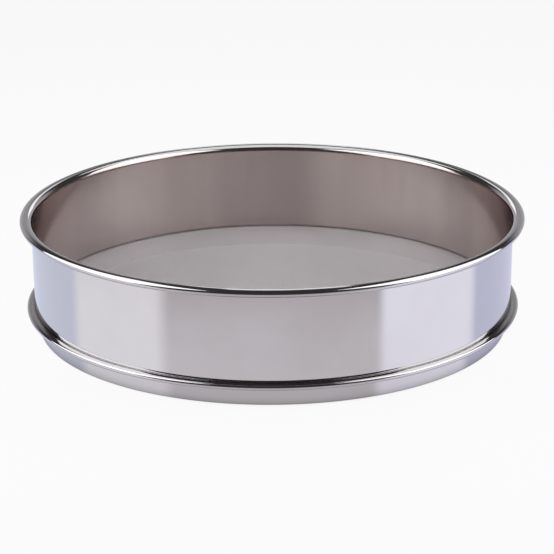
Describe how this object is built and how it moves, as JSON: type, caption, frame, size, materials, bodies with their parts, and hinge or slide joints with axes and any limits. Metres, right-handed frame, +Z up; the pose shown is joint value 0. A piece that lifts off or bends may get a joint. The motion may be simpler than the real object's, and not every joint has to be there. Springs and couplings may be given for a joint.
{
  "type": "flour sieve",
  "caption": "Round stainless flour sieve: a short drum with a rolled rim, taut woven wire cloth held in a hemmed seam, and a stepped-in skirt that nests into a pan or an equal sieve.",
  "frame": {"origin": "centre of the foot circle, on the surface the sieve stands on", "axes": "+Z up along the drum's axis, towards the rolled rim; +Y away from the viewer of the picture, +X to the right"},
  "size_m": [0.2106, 0.2106, 0.048],
  "materials": {
    "polished_sheet": "polished",
    "wire_cloth": "satin"
  },
  "bodies": {
    "root": {"upper_frame": "polished_sheet", "mesh_screen": "wire_cloth", "lower_skirt": "polished_sheet"}
  },
  "joints": []
}
